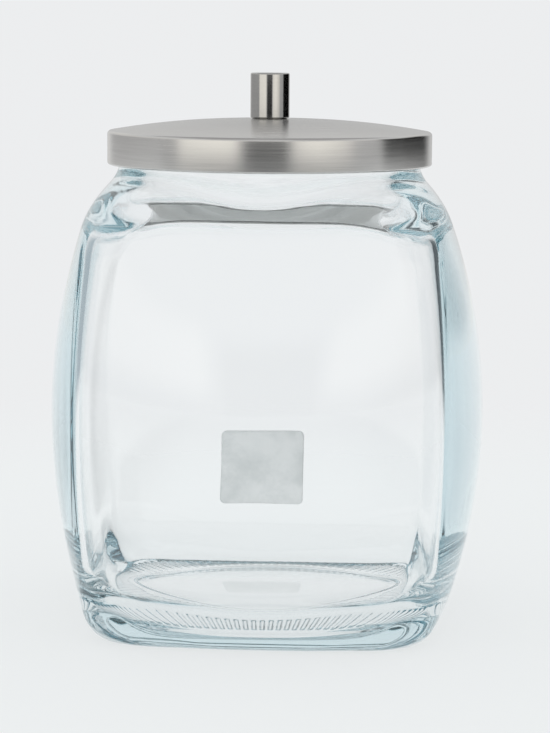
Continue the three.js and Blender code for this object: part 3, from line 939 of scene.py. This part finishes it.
def glow_material(name):
    """A card's material: each point glows as its "glow" colour says."""
    material = bpy.data.materials.new(name)
    material.use_nodes = True
    tree = material.node_tree
    tree.nodes.clear()
    light = tree.nodes.new("ShaderNodeEmission")
    tone = tree.nodes.new("ShaderNodeAttribute")
    tone.attribute_name = "glow"
    output = tree.nodes.new("ShaderNodeOutputMaterial")
    tree.links.new(tone.outputs["Color"], light.inputs["Color"])
    tree.links.new(light.outputs[0], output.inputs["Surface"])
    return material


def stage_card(name, points, faces, tones):
    """A card that shows in reflections alone: it lights nothing and casts no shadow."""
    card = new_object(name, points, faces, smooth=False)
    glow = card.data.color_attributes.new("glow", "FLOAT_COLOR", "POINT")
    glow.data.foreach_set("color", np.asarray(tones, dtype=np.float32).ravel())
    card.data.materials.append(glow_material(name))
    card.visible_camera = False
    card.visible_diffuse = False
    card.visible_shadow = False
    card.visible_transmission = False


def level_square(half, z):
    """The corners of a square at this height, with its middle on the axis."""
    return [(-half, -half, z), (half, -half, z), (half, half, z), (-half, half, z)]


def surround():
    """One upright wall right round the jar, brighter and darker by direction."""
    turns = np.arange(-HALF_TURN, HALF_TURN)
    heights = np.linspace(0, SURROUND_HEIGHT, SURROUND_ROWS)
    stops, levels, fade_lows, fade_highs = np.array(SURROUND).T
    level = np.interp(turns, stops, levels)
    fade_low = np.interp(turns, stops, fade_lows)
    fade_high = np.interp(turns, stops, fade_highs)
    in_front = np.abs(turns) < FRONT_DEGREES
    foot_height = np.where(in_front, FRONT_FOOT_HEIGHT, BACK_FOOT_HEIGHT)
    away = np.radians(turns)[:, None]
    places = SURROUND_RADIUS * (
        np.cos(away) * np.array(toward_camera) + np.sin(away) * np.array(to_the_right)
    )
    points, tones = [], []
    for z in heights:
        faded = level + (BACKDROP_LEVEL - level) * smooth_step(fade_low, fade_high, z)
        foot = np.where(in_front, np.minimum(faded, FRONT_FOOT), BACKDROP_LEVEL)
        shown = foot + (faded - foot) * smooth_step(0, foot_height, z)
        warmth = smooth_step(WARM_FROM, WARM_FULL, shown)[:, None]
        colour = shown[:, None] * (1 + warmth * (np.array(WARM) - 1))
        points.append(places + np.array((0, 0, z)))
        tones.append(np.concatenate([colour, np.ones((len(turns), 1))], 1))
    faces = grid_faces(len(heights), len(turns))
    stage_card("surround", np.concatenate(points).tolist(), faces, np.concatenate(tones))


def ceiling():
    """A level card overhead."""
    tone = (CEILING_LEVEL, CEILING_LEVEL, CEILING_LEVEL, 1)
    points = level_square(CEILING_HALF, CEILING_HEIGHT)
    stage_card("ceiling", points, [(0, 3, 2, 1)], [tone] * len(points))


def floor_fade(shader, around):
    """0 near the jar, and 1 where the floor has melted into the backdrop. Gives the
    place along Y too."""
    parts = shader.node("SeparateXYZ")
    distance = shader.node("VectorMath", operation="LENGTH")
    shader.join(around, parts.inputs[0])
    shader.join(around, distance.inputs[0])
    y = parts.outputs[1]
    fade = shader.math(
        "MAXIMUM",
        shader.ramp(y, 0, 1, REAR_FADE_FROM, REAR_FADE_TO),
        shader.ramp(distance.outputs["Value"], 0, 1, EDGE_FADE_FROM, EDGE_FADE_TO),
    )
    return fade, y


def floor_paper():
    """Paper with a glow of its own. Reflected, or lighting something, the glow is darker
    towards the camera. All but the camera see it a little brighter."""
    shader = Shader("floor_paper")
    shader.set(Base_Color=(*FLOOR_PAPER, 1), Roughness=FLOOR_ROUGHNESS, Specular_IOR_Level=0.0)
    fade, y = floor_fade(shader, shader.node("TexCoord").outputs["Object"])
    clear = shader.node("BsdfTransparent")
    path = shader.node("LightPath")
    direct = path.outputs["Is Camera Ray"]
    pale = shader.math("MAXIMUM", direct, path.outputs["Is Transmission Ray"])
    away = shader.math("ADD", y, shader.math("MULTIPLY", pale, FLOOR_HALF))
    strength = shader.math(
        "MULTIPLY",
        shader.ramp(away, FLOOR_DARK, 1, DARK_FULL, DARK_FROM),
        shader.ramp(direct, GLASS_LIFT, 1, 0, 1),
    )
    bright = shader.node("Emission")
    bright.inputs["Color"].default_value = (*FLOOR_GLOW, 1)
    shader.join(strength, bright.inputs["Strength"])
    lit = shader.node("MixShader")
    lit.inputs[0].default_value = FLOOR_GLOW_SHARE
    shader.join(shader.bsdf.outputs[0], lit.inputs[1])
    shader.join(bright.outputs[0], lit.inputs[2])
    mix = shader.node("MixShader")
    shader.join(fade, mix.inputs[0])
    shader.join(lit.outputs[0], mix.inputs[1])
    shader.join(clear.outputs[0], mix.inputs[2])
    shader.join(mix.outputs[0], shader.output.inputs["Surface"])
    return shader.material


def floor():
    """A pale plane whose far edge melts into the backdrop."""
    points = level_square(FLOOR_HALF, FLOOR_HEIGHT)
    plane = new_object("floor", points, [(0, 1, 2, 3)], smooth=False)
    plane.data.materials.append(floor_paper())


def backdrop_tone(tree):
    """The world: even and pale. Glass also shows what is darker on both sides."""
    background = tree.nodes["Background"]
    path = tree.nodes.new("ShaderNodeLightPath")
    direction = tree.nodes.new("ShaderNodeTexCoord")
    aside = tree.nodes.new("ShaderNodeVectorMath")
    aside.operation = "DOT_PRODUCT"
    aside.inputs[1].default_value = to_the_right
    tree.links.new(direction.outputs["Generated"], aside.inputs[0])
    share = tree.nodes.new("ShaderNodeMapRange")
    share.inputs["From Min"].default_value = -1
    tree.links.new(aside.outputs["Value"], share.inputs["Value"])
    sides = tree.nodes.new("ShaderNodeValToRGB")
    sides.color_ramp.interpolation = "EASE"
    stops = sides.color_ramp.elements
    first, last = stops[0], stops[1]
    first.position, first.color = (1 - LEFT_FULL_SHARE) / 2, (*LEFT_TONE, 1)
    last.position, last.color = (1 + RIGHT_FULL_SHARE) / 2, (*RIGHT_TONE, 1)
    for edge in (-LEFT_EDGE_SHARE, RIGHT_EDGE_SHARE):
        stops.new((1 + edge) / 2).color = (*GLASS_TONE, 1)
    tree.links.new(share.outputs["Result"], sides.inputs[0])
    mix = tree.nodes.new("ShaderNodeMix")
    mix.data_type = "RGBA"
    mix.inputs[MIX_FIRST].default_value = (*BACKDROP_TONE, 1)
    tree.links.new(path.outputs["Is Transmission Ray"], mix.inputs[0])
    tree.links.new(sides.outputs[0], mix.inputs[MIX_SECOND])
    tree.links.new(mix.outputs[MIX_RESULT], background.inputs["Color"])


def studio():
    """The even world, the cards that steel and glass reflect, and the floor."""
    scene = bpy.context.scene
    world = bpy.data.worlds.new("backdrop")
    world.use_nodes = True
    backdrop_tone(world.node_tree)
    scene.world = world
    scene.view_settings.view_transform = "Standard"
    scene.cycles.max_bounces = BOUNCES
    scene.cycles.transmission_bounces = BOUNCES
    scene.cycles.glossy_bounces = BOUNCES
    scene.cycles.transparent_max_bounces = CLEAR_BOUNCES
    surround()
    ceiling()
    floor()


camera()
glass_jar()
rear_label()
lid_steel = brushed_steel("lid_steel", LID_ROUGHNESS, LID_ANISOTROPY, LID_TONE)
# The knob's steel is the lid's, darkened as painted shade.
knob_shaded_steel = brushed_steel("knob_shaded_steel", KNOB_ROUGHNESS, KNOB_ANISOTROPY, KNOB_PAINTED_SHADE)
lid_cap(lid_steel)
lid_insert()
lid_gasket()
knob(knob_shaded_steel)
knob_fixing()
studio()
